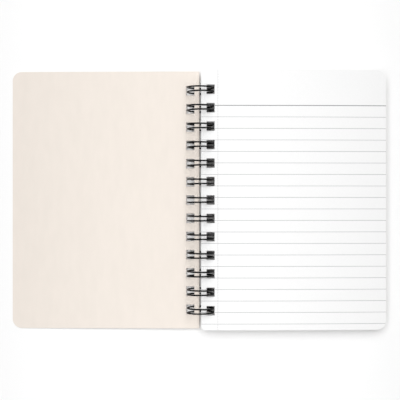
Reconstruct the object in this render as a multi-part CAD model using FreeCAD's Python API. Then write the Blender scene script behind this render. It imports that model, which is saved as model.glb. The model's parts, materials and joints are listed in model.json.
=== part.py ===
import FreeCAD, Part
import math
import os

# A pocket notebook bound with a twin-loop wire, lying open at its first ruled page.
# X runs across the spread to the right, Y along the wire towards the head, Z up.
# The table is z = 0, and the wire's axis runs along Y above x = 0.
# All lengths are millimetres and all angles are degrees.

# The wire: a 19 mm comb of 13 twin loops, two loops to the inch
loop_count = 13
loop_pitch = 12.7
wire_diameter = 1.1
comb_diameter = 19.0
mouth_width = 3.7
tip_width = 2.4
base_bend_radius = 1.5
end_stub = 1.0
seam_angle = -15.0
tip_reach = 0.6
wire_sides = 6
leg_chord_angle = 15.0
tip_chords = 5
bend_chords = 3

# The punching, the same in both covers and in every sheet
slot_inner = 4.2
slot_height = 6.6
slot_clearance = 0.3

# The covers: stiff card. The sheets hide all of the back one, which ends a little short
cover_gap = 0.8
front_cover_width = 130.7
back_cover_width = 129.2
sheet_height = 179.2
card_thickness = 0.5
fore_corner_radius = 6.35
spine_lift = 2.7
level_strip = 14.0
cover_bend_radius = 300.0

# The sheets, one block of them on the back cover
page_width = 127.7
page_gap = 0.6
page_spine_corner_radius = 3.0
block_thickness = 9.1
block_level = 10.2
block_fall = 3.5
seat_clearance = 0.1

# What follows from these sizes
ring_radius = (comb_diameter - wire_diameter) / 2
corner_share = 2 * math.pi / (wire_sides * math.sin(2 * math.pi / wire_sides))
wire_corner_radius = wire_diameter / 2 * math.sqrt(corner_share)
wire_reach = wire_corner_radius / math.cos(math.radians(leg_chord_angle / 2))
ring_height = ring_radius + wire_reach
slot_outer = ring_radius + wire_reach + slot_clearance
back_fore_edge = cover_gap + back_cover_width
headroom = 2 * ring_height


def point(x, y, z):
    return FreeCAD.Vector(x, y, z)


def loop_centres():
    """Where each twin loop stands along the wire, foot to head."""
    first = -loop_pitch * (loop_count - 1) / 2
    return [first + loop_pitch * index for index in range(loop_count)]


def rolled(along, across):
    """A point of the flat wire pattern, rolled up on the comb's cylinder.

    along is the distance round the comb from its base, and across is the place along Y.
    """
    turn = math.radians(seam_angle) + along / ring_radius
    return point(-ring_radius * math.sin(turn), across, ring_height - ring_radius * math.cos(turn))


def half_loop():
    """One side of a twin loop in the flat, from its base bend to just before the middle of its tip.

    The second number of each pair is the distance from the loop's middle.
    """
    tip_centre = 2 * math.pi * ring_radius - (tip_width + wire_diameter) / 2 + tip_reach
    places = []
    for step in range(bend_chords):
        turn = math.pi / 2 * step / bend_chords
        along = base_bend_radius * (1 - math.cos(turn))
        places.append((along, mouth_width / 2 + base_bend_radius * (1 - math.sin(turn))))
    leg_length = tip_centre - base_bend_radius
    leg_chords = round(math.degrees(leg_length / ring_radius) / leg_chord_angle)
    for step in range(leg_chords):
        share = step / leg_chords
        half_width = (mouth_width + (tip_width - mouth_width) * share) / 2
        places.append((base_bend_radius + leg_length * share, half_width))
    for step in range((tip_chords + 1) // 2):
        turn = math.pi * step / tip_chords
        along = tip_centre + tip_width / 2 * math.sin(turn)
        places.append((along, tip_width / 2 * math.cos(turn)))
    return places


def wire_path():
    """The whole wire's centreline: base, leg, tip, leg and base again for each loop in turn."""
    side = half_loop()
    centres = loop_centres()
    end_reach = side[0][1] + end_stub
    path = [rolled(0, centres[0] - end_reach)]
    for centre in centres:
        path += [rolled(along, centre - half_width) for along, half_width in side]
        path += [rolled(along, centre + half_width) for along, half_width in reversed(side)]
    path.append(rolled(0, centres[-1] + end_reach))
    return path


def mitred_rod(path, corner_radius, sides):
    """A rod of a regular section along straight chords, mitred where they meet."""
    way = (path[1] - path[0]).normalize()
    level = way.cross(point(0, 0, 1)).normalize()
    upright = way.cross(level)
    turns = [2 * math.pi * index / sides for index in range(sides)]
    ring = [path[0] + (level * math.cos(turn) + upright * math.sin(turn)) * corner_radius for turn in turns]
    faces = [Part.Face(Part.makePolygon(ring + ring[:1]))]
    for index in range(1, len(path)):
        way = (path[index] - path[index - 1]).normalize()
        mitre = way
        if index + 1 < len(path):
            mitre = way + (path[index + 1] - path[index]).normalize()
        moved = [corner + way * ((path[index] - corner).dot(mitre) / way.dot(mitre)) for corner in ring]
        for side in range(sides):
            following = (side + 1) % sides
            quad = [ring[side], ring[following], moved[following], moved[side], ring[side]]
            faces.append(Part.Face(Part.makePolygon(quad)))
        ring = moved
    faces.append(Part.Face(Part.makePolygon(ring + ring[:1])))
    shell = Part.makeShell(faces)
    shell.sewShape()
    rod = Part.makeSolid(shell)
    if rod.Volume < 0:
        rod.reverse()
    return rod


def wire_binding():
    """One continuous wire, closed into a comb whose tips nest in the mouths of its base."""
    return mitred_rod(wire_path(), wire_corner_radius, wire_sides)


def resting_line(height, start, end, fore_edge):
    """The line at a height above the underside of a cover at rest, from x = start to x = end.

    It is level over the strip that the wire holds up, then bends and slopes down until the
    cover's fore edge lies on the table.
    """
    panel_slope = math.atan2(spine_lift, fore_edge - level_strip)
    radius = cover_bend_radius + height
    bend_start = level_strip - cover_bend_radius * math.tan(panel_slope / 2)
    centre = point(bend_start, 0, spine_lift - cover_bend_radius)
    top = centre + point(0, 0, radius)
    middle = centre + point(math.sin(panel_slope / 2), 0, math.cos(panel_slope / 2)) * radius
    foot = centre + point(math.sin(panel_slope), 0, math.cos(panel_slope)) * radius
    last = point(end, 0, foot.z - (end - foot.x) * math.tan(panel_slope))
    level = Part.makeLine(point(start, 0, top.z), top)
    bend = Part.Arc(top, middle, foot).toShape()
    return [level, bend, Part.makeLine(foot, last)]


def closed_profile(lower, upper):
    """A face between two lines that run the same way, closed by an upright at each end."""
    left = Part.makeLine(lower[0].Vertexes[0].Point, upper[0].Vertexes[0].Point)
    right = Part.makeLine(lower[-1].Vertexes[-1].Point, upper[-1].Vertexes[-1].Point)
    return Part.Face(Part.Wire(Part.__sortEdges__(lower + upper + [left, right])))


def plan_prism(start, end, spine_radius):
    """The cut outline of a sheet or cover, seen from above, as a prism through all heights."""
    half = sheet_height / 2
    block = Part.makeBox(end - start, sheet_height, headroom, point(start, -half, 0))
    uprights = [edge for edge in block.Edges if edge.Vertexes[0].Z != edge.Vertexes[-1].Z]
    fore = [edge for edge in uprights if edge.Vertexes[0].X > (start + end) / 2]
    block = block.makeFillet(fore_corner_radius, fore)
    if spine_radius > 0:
        uprights = [edge for edge in block.Edges if abs(edge.BoundBox.ZLength - headroom) < 1e-6]
        spine = [edge for edge in uprights if abs(edge.BoundBox.XMax - start) < 1e-6]
        block = block.makeFillet(spine_radius, spine)
    return block


def punched(blank):
    """A blank with one slot for every twin loop."""
    half = slot_height / 2
    width = slot_outer - slot_inner
    slots = [
        Part.makeBox(width, slot_height, headroom, point(slot_inner, centre - half, 0))
        for centre in loop_centres()
    ]
    return blank.cut(slots)


def sheet_stack(profile, start, end, spine_radius):
    """A profile run from foot to head, trimmed to its plan outline and punched."""
    profile.translate(point(0, -sheet_height / 2, 0))
    blank = profile.extrude(point(0, sheet_height, 0))
    trimmed = blank.common(plan_prism(start, end, spine_radius))
    return punched(trimmed).removeSplitter().Solids[0]


def resting_card(width):
    """A card to the right of the wire, its spine strip held off the table and its fore edge on it."""
    fore_edge = cover_gap + width
    lower = resting_line(0, cover_gap, fore_edge, fore_edge)
    upper = resting_line(card_thickness, cover_gap, fore_edge, fore_edge)
    return sheet_stack(closed_profile(lower, upper), cover_gap, fore_edge, 0)


def back_cover():
    """The card under the sheets."""
    return resting_card(back_cover_width)


def front_cover():
    """The card turned over to the left, its inner face up."""
    cover = resting_card(front_cover_width)
    cover.rotate(point(0, 0, 0), point(0, 0, 1), 180)
    return cover


def page_block():
    """All the sheets on the right as one block: level at the wire, falling towards the fore edge."""
    start = page_gap
    end = page_gap + page_width
    seat = card_thickness + seat_clearance
    lower = resting_line(seat, start, end, back_fore_edge)
    crown = spine_lift + seat + block_thickness
    run = end - block_level
    radius = (run**2 + block_fall**2) / (2 * block_fall)
    middle_run = run / 2
    middle_fall = radius - math.sqrt(radius**2 - middle_run**2)
    turn_over = point(block_level, 0, crown)
    middle = point(block_level + middle_run, 0, crown - middle_fall)
    fore_top = point(end, 0, crown - block_fall)
    level = Part.makeLine(point(start, 0, crown), turn_over)
    upper = [level, Part.Arc(turn_over, middle, fore_top).toShape()]
    return sheet_stack(closed_profile(lower, upper), start, end, page_spine_corner_radius)


parts = {
    "wire_binding": wire_binding(),
    "back_cover": back_cover(),
    "front_cover": front_cover(),
    "page_block": page_block(),
}

os.makedirs("parts", exist_ok=True)
for name, shape in parts.items():
    shape.exportStep(f"parts/{name}.step")
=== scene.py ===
"""A wire-bound notebook lying open at its first ruled page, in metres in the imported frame."""
import json
import math
import random

import bpy
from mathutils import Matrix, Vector


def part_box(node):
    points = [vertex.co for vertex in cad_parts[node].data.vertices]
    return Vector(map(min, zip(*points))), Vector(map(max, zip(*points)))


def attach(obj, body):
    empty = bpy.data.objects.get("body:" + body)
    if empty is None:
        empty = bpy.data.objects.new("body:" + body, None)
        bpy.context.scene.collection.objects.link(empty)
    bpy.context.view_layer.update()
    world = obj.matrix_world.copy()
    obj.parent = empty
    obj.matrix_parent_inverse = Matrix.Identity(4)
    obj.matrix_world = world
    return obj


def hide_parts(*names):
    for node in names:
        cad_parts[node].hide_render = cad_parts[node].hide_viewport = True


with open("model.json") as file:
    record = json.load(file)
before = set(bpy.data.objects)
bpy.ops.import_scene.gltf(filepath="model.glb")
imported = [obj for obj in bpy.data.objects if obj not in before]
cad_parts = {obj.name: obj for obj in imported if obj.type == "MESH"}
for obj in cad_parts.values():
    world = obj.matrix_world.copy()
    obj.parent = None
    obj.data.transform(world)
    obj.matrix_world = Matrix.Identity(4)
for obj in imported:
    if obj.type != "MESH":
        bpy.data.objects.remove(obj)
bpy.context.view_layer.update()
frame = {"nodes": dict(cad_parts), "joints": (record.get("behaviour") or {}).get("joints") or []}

MM = 0.001

# The wire comb, in millimetres
loop_count = 13
loop_pitch = 12.7
wire_radius = 0.55
ring_radius = 8.95
mouth_width = 3.7
tip_width = 2.4
base_bend_radius = 1.5
end_stub = 1.0
seam_angle = -15.0
tip_reach = 0.6
leg_steps = 56
tip_steps = 14
bend_steps = 6
wire_bevel_steps = 5

# The sheets, in millimetres
sheet_count = 80
sheet_thickness = 0.095
slot_inner = 4.2
slot_outer = 9.86
slot_height = 6.6
fore_corner_radius = 6.35
spine_corner_radius = 3.0
corner_steps = 7
block_level = 10.2
block_fall = 3.5
spine_lift = 2.7
level_strip = 14.0
panel_end = 130.0
card_thickness = 0.5
seat_clearance = 0.1
sheet_wander = 0.11
stack_seed = 7
field_stations = 18
weld_reach = 0.005

# The ruling, in millimetres
header_drop = 24.5
rule_pitch = 7.918
rule_count = 19
header_width = 0.45
rule_width = 0.28
perforation_x = 12.0
perforation_width = 0.22
slit_pitch = 1.1

# Shares of the slits' pitch: where each slit's painted shade starts to fade, and where plain paper begins
slit_share = 0.58
slit_end = 0.66

# The camera stands straight above the spread
image_side = 400
focal_pixels = 902
sensor_width = 36.0
camera_height = 632.5
camera_x = -0.3

# The table top: how much light it sends back, half its side in metres, and how many
# millimetres it lies below the solids, so that no two faces coincide
table_white = 0.87
table_half = 6.0
table_drop = 0.02

# The light, in metres, degrees and watts
room_strength = 0.33
window_height = 1.0
window_tilt = 25.0
window_lean = 4.0
window_angle = 50.0
window_strength = 1.56
box_leans = {-0.12: -14.0, 0.085: 10.0}
box_height = 0.45
box_width = 0.13
box_length = 1.6
box_spread = 90.0
box_power = 0.5

# The order of the finishes on a ruled sheet
paper_number, edge_number, header_number, rule_number, slit_shade_number = range(5)

axis_height = frame["joints"][0]["pos_m"][2] / MM
page_low, page_high = (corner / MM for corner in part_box("page_block"))


def loop_centres():
    """Where each twin loop stands along the wire, foot to head."""
    first = -loop_pitch * (loop_count - 1) / 2
    return [first + loop_pitch * index for index in range(loop_count)]


def material(name, colour, roughness):
    """A material with its nodes, its shader and a short way to add more nodes."""
    made = bpy.data.materials.new(name)
    made.use_nodes = True
    shader = made.node_tree.nodes["Principled BSDF"]
    shader.inputs["Base Color"].default_value = (*colour, 1)
    shader.inputs["Roughness"].default_value = roughness
    return made, shader


def node(made, kind, inputs=None, **settings):
    """Adds a node, sets its inputs and joins sockets that are given in place of values."""
    added = made.node_tree.nodes.new(kind)
    for key, value in settings.items():
        setattr(added, key, value)
    for key, value in (inputs or {}).items():
        if isinstance(value, bpy.types.NodeSocket):
            made.node_tree.links.new(value, added.inputs[key])
        else:
            added.inputs[key].default_value = value
    return added


def noise(made, size, detail=3.0, stretch=(1, 1, 1)):
    """Noise in the object's own space; size is its grain in millimetres."""
    place = node(made, "ShaderNodeTexCoord").outputs["Object"]
    spread = node(made, "ShaderNodeMapping", {"Vector": place, "Scale": stretch}).outputs["Vector"]
    grain = node(made, "ShaderNodeTexNoise", {"Vector": spread, "Scale": 1 / (size * MM), "Detail": detail})
    return grain.outputs["Fac"]


def tinted(made, shader, factor, dark, light, low=0.3, high=0.7):
    """Colours the shader between two tones by a factor."""
    ramp = node(made, "ShaderNodeValToRGB", {"Fac": factor})
    ramp.color_ramp.elements[0].position = low
    ramp.color_ramp.elements[0].color = (*dark, 1)
    ramp.color_ramp.elements[1].position = high
    ramp.color_ramp.elements[1].color = (*light, 1)
    made.node_tree.links.new(ramp.outputs["Color"], shader.inputs["Base Color"])


def bumped(made, shader, height, depth):
    """Raises the surface by a height field; depth is in millimetres."""
    relief = node(made, "ShaderNodeBump", {"Height": height, "Distance": depth * MM, "Strength": 1.0})
    made.node_tree.links.new(relief.outputs["Normal"], shader.inputs["Normal"])


def card_material():
    """Uncoated cream card: a faint mottle drawn out along the wire, and a fine tooth."""
    made, shader = material("cream_card", (0.75, 0.69, 0.63), 0.88)
    mottle = noise(made, 5.0, 3.0, (1.0, 0.35, 1.0))
    tinted(made, shader, mottle, (0.74, 0.679, 0.619), (0.76, 0.696, 0.636))
    bumped(made, shader, noise(made, 0.22, 4.0, (1.0, 0.6, 1.0)), 0.012)
    return made


def paper_material():
    """White writing paper with a very fine tooth."""
    made, shader = material("writing_paper", (0.815, 0.815, 0.815), 0.82)
    tinted(made, shader, noise(made, 1.1, 5.0), (0.808, 0.808, 0.808), (0.822, 0.822, 0.822))
    bumped(made, shader, noise(made, 0.16, 3.0), 0.006)
    return made


def paper_edge_material():
    """The cut edge of the sheets: a little greyer, with the guillotine's fine upright drag."""
    made, shader = material("paper_edge", (0.86, 0.86, 0.85), 0.9)
    tinted(made, shader, noise(made, 0.5, 4.0, (1, 1, 0.2)), (0.80, 0.80, 0.79), (0.90, 0.90, 0.89))
    bumped(made, shader, noise(made, 0.1, 2.0, (1, 1, 0.3)), 0.01)
    return made


def ink_material(name, light, heavy):
    """Printed rule: thin grey ink that sinks unevenly into the paper."""
    made, shader = material(name, heavy, 0.8)
    tinted(made, shader, noise(made, 0.35, 4.0), heavy, light)
    bumped(made, shader, noise(made, 0.16, 3.0), 0.006)
    return made


def slit_shade_material():
    """Paper with a row of fine slits along Y, drawn as dark grey dashes: painted shade of the cuts, with
    the surface left whole.
    """
    made, shader = material("perforation_painted_shade", (0.815, 0.815, 0.815), 0.85)
    place = node(made, "ShaderNodeTexCoord").outputs["Object"]
    along = node(made, "ShaderNodeSeparateXYZ", {"Vector": place}).outputs["Y"]
    per_metre = 1 / (slit_pitch * MM)
    slits = node(made, "ShaderNodeMath", {0: along, 1: per_metre}, operation="MULTIPLY").outputs[0]
    step = node(made, "ShaderNodeMath", {0: slits}, operation="FRACT").outputs[0]
    # Below slit_share each pitch is dark grey: painted shade of a slit, not a cut
    tinted(made, shader, step, (0.25, 0.25, 0.25), (0.815, 0.815, 0.815), slit_share, slit_end)
    return made


def wire_material():
    """Steel wire under a satin black coat with a slight orange peel."""
    made, shader = material("black_coat", (0.004, 0.004, 0.0045), 0.32)
    shader.inputs["Specular IOR Level"].default_value = 0.12
    bumped(made, shader, noise(made, 0.5, 2.0), 0.008)
    grain = noise(made, 2.5, 3.0)
    rough = node(made, "ShaderNodeMapRange", {"Value": grain, "To Min": 0.26, "To Max": 0.4})
    made.node_tree.links.new(rough.outputs["Result"], shader.inputs["Roughness"])
    return made


def cut_steel_material():
    """The bare cut ends of the wire."""
    made, shader = material("cut_steel", (0.55, 0.55, 0.56), 0.35)
    shader.inputs["Metallic"].default_value = 1.0
    bumped(made, shader, noise(made, 0.15, 2.0), 0.01)
    return made


def add_object(name, mesh, body, slot, *materials):
    """Links a mesh as a piece of one body, with its finish."""
    for finish in materials:
        mesh.materials.append(finish)
    made = bpy.data.objects.new(name, mesh)
    bpy.context.scene.collection.objects.link(made)
    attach(made, body)
    return made


def rolled(along, across):
    """A point of the flat wire pattern, rolled up on the comb's cylinder."""
    turn = math.radians(seam_angle) + along / ring_radius
    height = axis_height - ring_radius * math.cos(turn)
    return Vector((-ring_radius * math.sin(turn), across, height)) * MM


def half_loop():
    """One side of a twin loop in the flat, from its base bend to the crown of its tip."""
    tip_centre = 2 * math.pi * ring_radius - tip_width / 2 - wire_radius + tip_reach
    places = []
    for step in range(bend_steps):
        turn = math.pi / 2 * step / bend_steps
        along = base_bend_radius * (1 - math.cos(turn))
        places.append((along, mouth_width / 2 + base_bend_radius * (1 - math.sin(turn))))
    for step in range(leg_steps):
        share = step / leg_steps
        half_width = (mouth_width + (tip_width - mouth_width) * share) / 2
        places.append((base_bend_radius + (tip_centre - base_bend_radius) * share, half_width))
    for step in range(tip_steps // 2):
        turn = math.pi * step / tip_steps
        places.append((tip_centre + tip_width / 2 * math.sin(turn), tip_width / 2 * math.cos(turn)))
    return places, tip_centre + tip_width / 2


def wire_points():
    """The whole wire's centreline, foot to head."""
    side, crown = half_loop()
    centres = loop_centres()
    reach = side[0][1] + end_stub
    points = [rolled(0, centres[0] - reach)]
    for centre in centres:
        points += [rolled(along, centre - half_width) for along, half_width in side]
        points.append(rolled(crown, centre))
        points += [rolled(along, centre + half_width) for along, half_width in reversed(side)]
    points.append(rolled(0, centres[-1] + reach))
    return points


def make_comb():
    """The comb as one round wire with bare steel at its two cut ends."""
    points = wire_points()
    curve = bpy.data.curves.new("comb_line", "CURVE")
    curve.dimensions = "3D"
    curve.bevel_depth = wire_radius * MM
    curve.bevel_resolution = wire_bevel_steps
    curve.use_fill_caps = True
    spline = curve.splines.new("POLY")
    spline.points.add(len(points) - 1)
    for place, made in zip(points, spline.points):
        made.co = (*place, 1)
    line = bpy.data.objects.new("comb_line", curve)
    mesh = bpy.data.meshes.new_from_object(line)
    bpy.data.objects.remove(line)
    for face in mesh.polygons:
        face.use_smooth = len(face.vertices) == 4
        face.material_index = 0 if face.use_smooth else 1
    comb = add_object("comb_wire", mesh, "binding", "coated_wire", wire_material(), cut_steel_material())
    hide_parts("wire_binding")


def seat_height(x):
    """The top of the seat under the block: level at the comb, then down to the fore edge."""
    level = spine_lift + card_thickness + seat_clearance
    slope = spine_lift / (panel_end - level_strip)
    return level - max(0.0, x - level_strip) * slope


def crown_height(x):
    """The upper face of the block: level at the comb, then a gentle arc."""
    run = page_high.x - block_level
    radius = (run**2 + block_fall**2) / (2 * block_fall)
    past = max(0.0, x - block_level)
    return page_high.z - radius + math.sqrt(radius**2 - past**2)


def half_height(x):
    """Half the sheet's height at x, with its rounded corners."""
    half = page_high.y
    for radius, past in (
        (fore_corner_radius, x - page_high.x + fore_corner_radius),
        (spine_corner_radius, page_low.x + spine_corner_radius - x),
    ):
        if past > 0:
            half -= radius - math.sqrt(max(0.0, radius**2 - past**2))
    return half


def stations(extra=()):
    """The x lines of a sheet, spine to fore edge, close together at the rounded corners."""
    turns = [math.pi / 2 * step / corner_steps for step in range(corner_steps + 1)]
    lines = [page_low.x + spine_corner_radius * (1 - math.cos(turn)) for turn in turns]
    lines += [slot_inner, slot_outer, block_level, *extra]
    field = page_high.x - fore_corner_radius - level_strip
    lines += [level_strip + field * step / field_stations for step in range(field_stations)]
    lines += [page_high.x - fore_corner_radius * (1 - math.sin(turn)) for turn in turns]
    return sorted(set(round(line, 4) for line in lines))


def slot_edges():
    """The y lines of the slots' ends, foot to head."""
    return [centre + side * slot_height / 2 for centre in loop_centres() for side in (-1, 1)]


def in_slot(x, y):
    """Whether a point of the sheet falls in a slot."""
    if not slot_inner < x < slot_outer:
        return False
    return any(abs(y - centre) < slot_height / 2 for centre in loop_centres())


def plain_sheet(points, faces, share, shift):
    """One sheet of the stack as a surface: wide strips, cut through only at the slots."""
    edges = slot_edges()
    rows = []
    for x in stations():
        half = half_height(x)
        inner = edges if x in (slot_inner, slot_outer) else []
        rows.append((x, [-half, *inner, half]))
    numbered = []
    for x, ys in rows:
        height = seat_height(x) + (crown_height(x) - seat_height(x)) * share
        numbered.append(range(len(points), len(points) + len(ys)))
        points += [Vector((x + shift.x, y + shift.y, height)) * MM for y in ys]
    for (x, _), left, right in zip(rows, numbered, numbered[1:]):
        if x == slot_inner:
            for first in range(0, len(left), 2):
                faces.append((left[first], right[first], right[first + 1], left[first + 1]))
        else:
            faces.append((*reversed(left), *right))


def thickened(made):
    """Gives a surface the thickness of paper, downwards, with the second material on its cut edge."""
    solid = made.modifiers.new("paper_thickness", "SOLIDIFY")
    solid.thickness = sheet_thickness * MM
    solid.offset = -1.0
    solid.material_offset_rim = edge_number - paper_number


def make_stack(paper, edge):
    """Every sheet between the first and the last, each lying a little out of true."""
    drift = random.Random(stack_seed)
    points = []
    faces = []
    for index in range(1, sheet_count - 1):
        share = (index + 1) / sheet_count
        shift = Vector((drift.uniform(-1, 1), drift.uniform(-1, 1), 0)) * sheet_wander
        plain_sheet(points, faces, share, shift)
    mesh = bpy.data.meshes.new("sheet_stack")
    mesh.from_pydata(points, [], faces)
    stack = add_object("sheet_stack", mesh, "pages", "white_paper", paper, edge)
    thickened(stack)
    return stack


def rule_rows():
    """The printed rows, head to foot, as (middle, width, material number)."""
    header = page_high.y - header_drop
    rows = [(header, header_width, header_number)]
    for index in range(rule_count):
        rows.append((header - rule_pitch * (index + 1), rule_width, rule_number))
    return rows


def ruled_sheet(name, share, underside, materials):
    """A sheet whose ruling and perforation are fields of its own surface; the perforation's slits are
    painted shade.
    """
    columns = (perforation_x - perforation_width / 2, perforation_x + perforation_width / 2)
    xs = stations(columns)
    rows = rule_rows()
    ys = {-page_high.y, page_high.y, *slot_edges()}
    for middle, width, _ in rows:
        ys |= {middle - width / 2, middle + width / 2}
    for radius in (fore_corner_radius, spine_corner_radius):
        ys |= {side * (page_high.y - radius) for side in (-1, 1)}
    ys = sorted(round(y, 4) for y in ys)
    points = []
    for x in xs:
        half = half_height(x)
        height = seat_height(x) + (crown_height(x) - seat_height(x)) * share
        points += [Vector((x, min(half, max(-half, y)), height)) * MM for y in ys]
    faces = []
    finishes = []
    for column in range(len(xs) - 1):
        middle_x = (xs[column] + xs[column + 1]) / 2
        for row in range(len(ys) - 1):
            middle_y = (ys[row] + ys[row + 1]) / 2
            low_corner = column * len(ys) + row
            corners = (low_corner, low_corner + len(ys), low_corner + len(ys) + 1, low_corner + 1)
            if in_slot(middle_x, middle_y) or abs(middle_y) >= half_height(middle_x):
                continue
            # Faces in the perforation column take the painted slit shade
            number = slit_shade_number if columns[0] < middle_x < columns[1] else paper_number
            for middle, width, ink in rows:
                if abs(middle_y - middle) < width / 2:
                    number = ink
            faces.append(corners[::-1] if underside else corners)
            finishes.append(number)
    mesh = bpy.data.meshes.new(name)
    mesh.from_pydata(points, [], faces)
    for face, number in zip(mesh.polygons, finishes):
        face.material_index = number
    mesh.validate()
    made = add_object(name, mesh, "pages", "white_paper", *materials)
    weld = made.modifiers.new("weld", "WELD")
    weld.merge_threshold = weld_reach * MM
    thickened(made)
    return made


def make_pages():
    """The whole block: a ruled first sheet, the stack, and a last sheet ruled on its back."""
    paper = paper_material()
    edge = paper_edge_material()
    header = ink_material("header_ink", (0.18, 0.18, 0.185), (0.12, 0.12, 0.125))
    rule = ink_material("rule_ink", (0.37, 0.37, 0.38), (0.29, 0.29, 0.30))
    finishes = (paper, edge, header, rule, slit_shade_material())
    stack = make_stack(paper, edge)
    first = ruled_sheet("first_sheet", 1.0, False, finishes)
    last = ruled_sheet("last_sheet", 0.5 / sheet_count, True, finishes)
    for piece in (stack, first, last):
        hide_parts("page_block")


def dress_covers():
    """Both covers are card all through."""
    card = card_material()
    for name in ("front_cover", "back_cover"):
        mesh = frame["nodes"][name].data
        mesh.materials.clear()
        mesh.materials.append(card)


def make_floor():
    """A plain white table top."""
    made, shader = material("table_white", (table_white, table_white, table_white), 0.7)
    mesh = bpy.data.meshes.new("table_top")
    sides = ((-1, -1), (1, -1), (1, 1), (-1, 1))
    corners = [(x * table_half, y * table_half, -table_drop * MM) for x, y in sides]
    mesh.from_pydata(corners, [], [(0, 1, 2, 3)])
    mesh.materials.append(made)
    floor = bpy.data.objects.new("table_top", mesh)
    bpy.context.scene.collection.objects.link(floor)


def hung_light(name, kind, place, turn):
    """A light of one kind at a place in metres, turned from facing straight down."""
    light = bpy.data.lights.new(name, kind)
    made = bpy.data.objects.new(name, light)
    made.location = place
    made.rotation_euler = turn
    made.visible_camera = False
    bpy.context.scene.collection.objects.link(made)
    return light


def light_scene():
    """Soft light from beyond the head of the page, two softboxes over the spread and a white room."""
    world = bpy.data.worlds.new("room")
    world.use_nodes = True
    world.node_tree.nodes["Background"].inputs["Color"].default_value = (1, 1, 1, 1)
    world.node_tree.nodes["Background"].inputs["Strength"].default_value = room_strength
    bpy.context.scene.world = world
    tilt = (-math.radians(window_tilt), -math.radians(window_lean), 0)
    window = hung_light("window", "SUN", (0, 0, window_height), tilt)
    window.angle = math.radians(window_angle)
    window.energy = window_strength
    for x, lean in box_leans.items():
        box = hung_light("softbox", "AREA", (x, 0, box_height), (0, math.radians(lean), 0))
        box.shape = "RECTANGLE"
        box.size = box_width
        box.size_y = box_length
        box.spread = math.radians(box_spread)
        box.energy = box_power
    view = bpy.context.scene.view_settings
    view.view_transform = "Standard"
    view.look = "None"


def make_camera():
    """Straight down on the spread, the head of the page at the top."""
    camera = bpy.data.cameras.new("camera")
    camera.sensor_width = sensor_width
    camera.lens = focal_pixels / image_side * sensor_width
    camera.clip_start = 0.05
    camera.clip_end = 20
    made = bpy.data.objects.new("camera", camera)
    made.location = Vector((camera_x, 0, camera_height)) * MM
    bpy.context.scene.collection.objects.link(made)
    bpy.context.scene.camera = made


make_camera()
make_comb()
make_pages()
dress_covers()
make_floor()
light_scene()
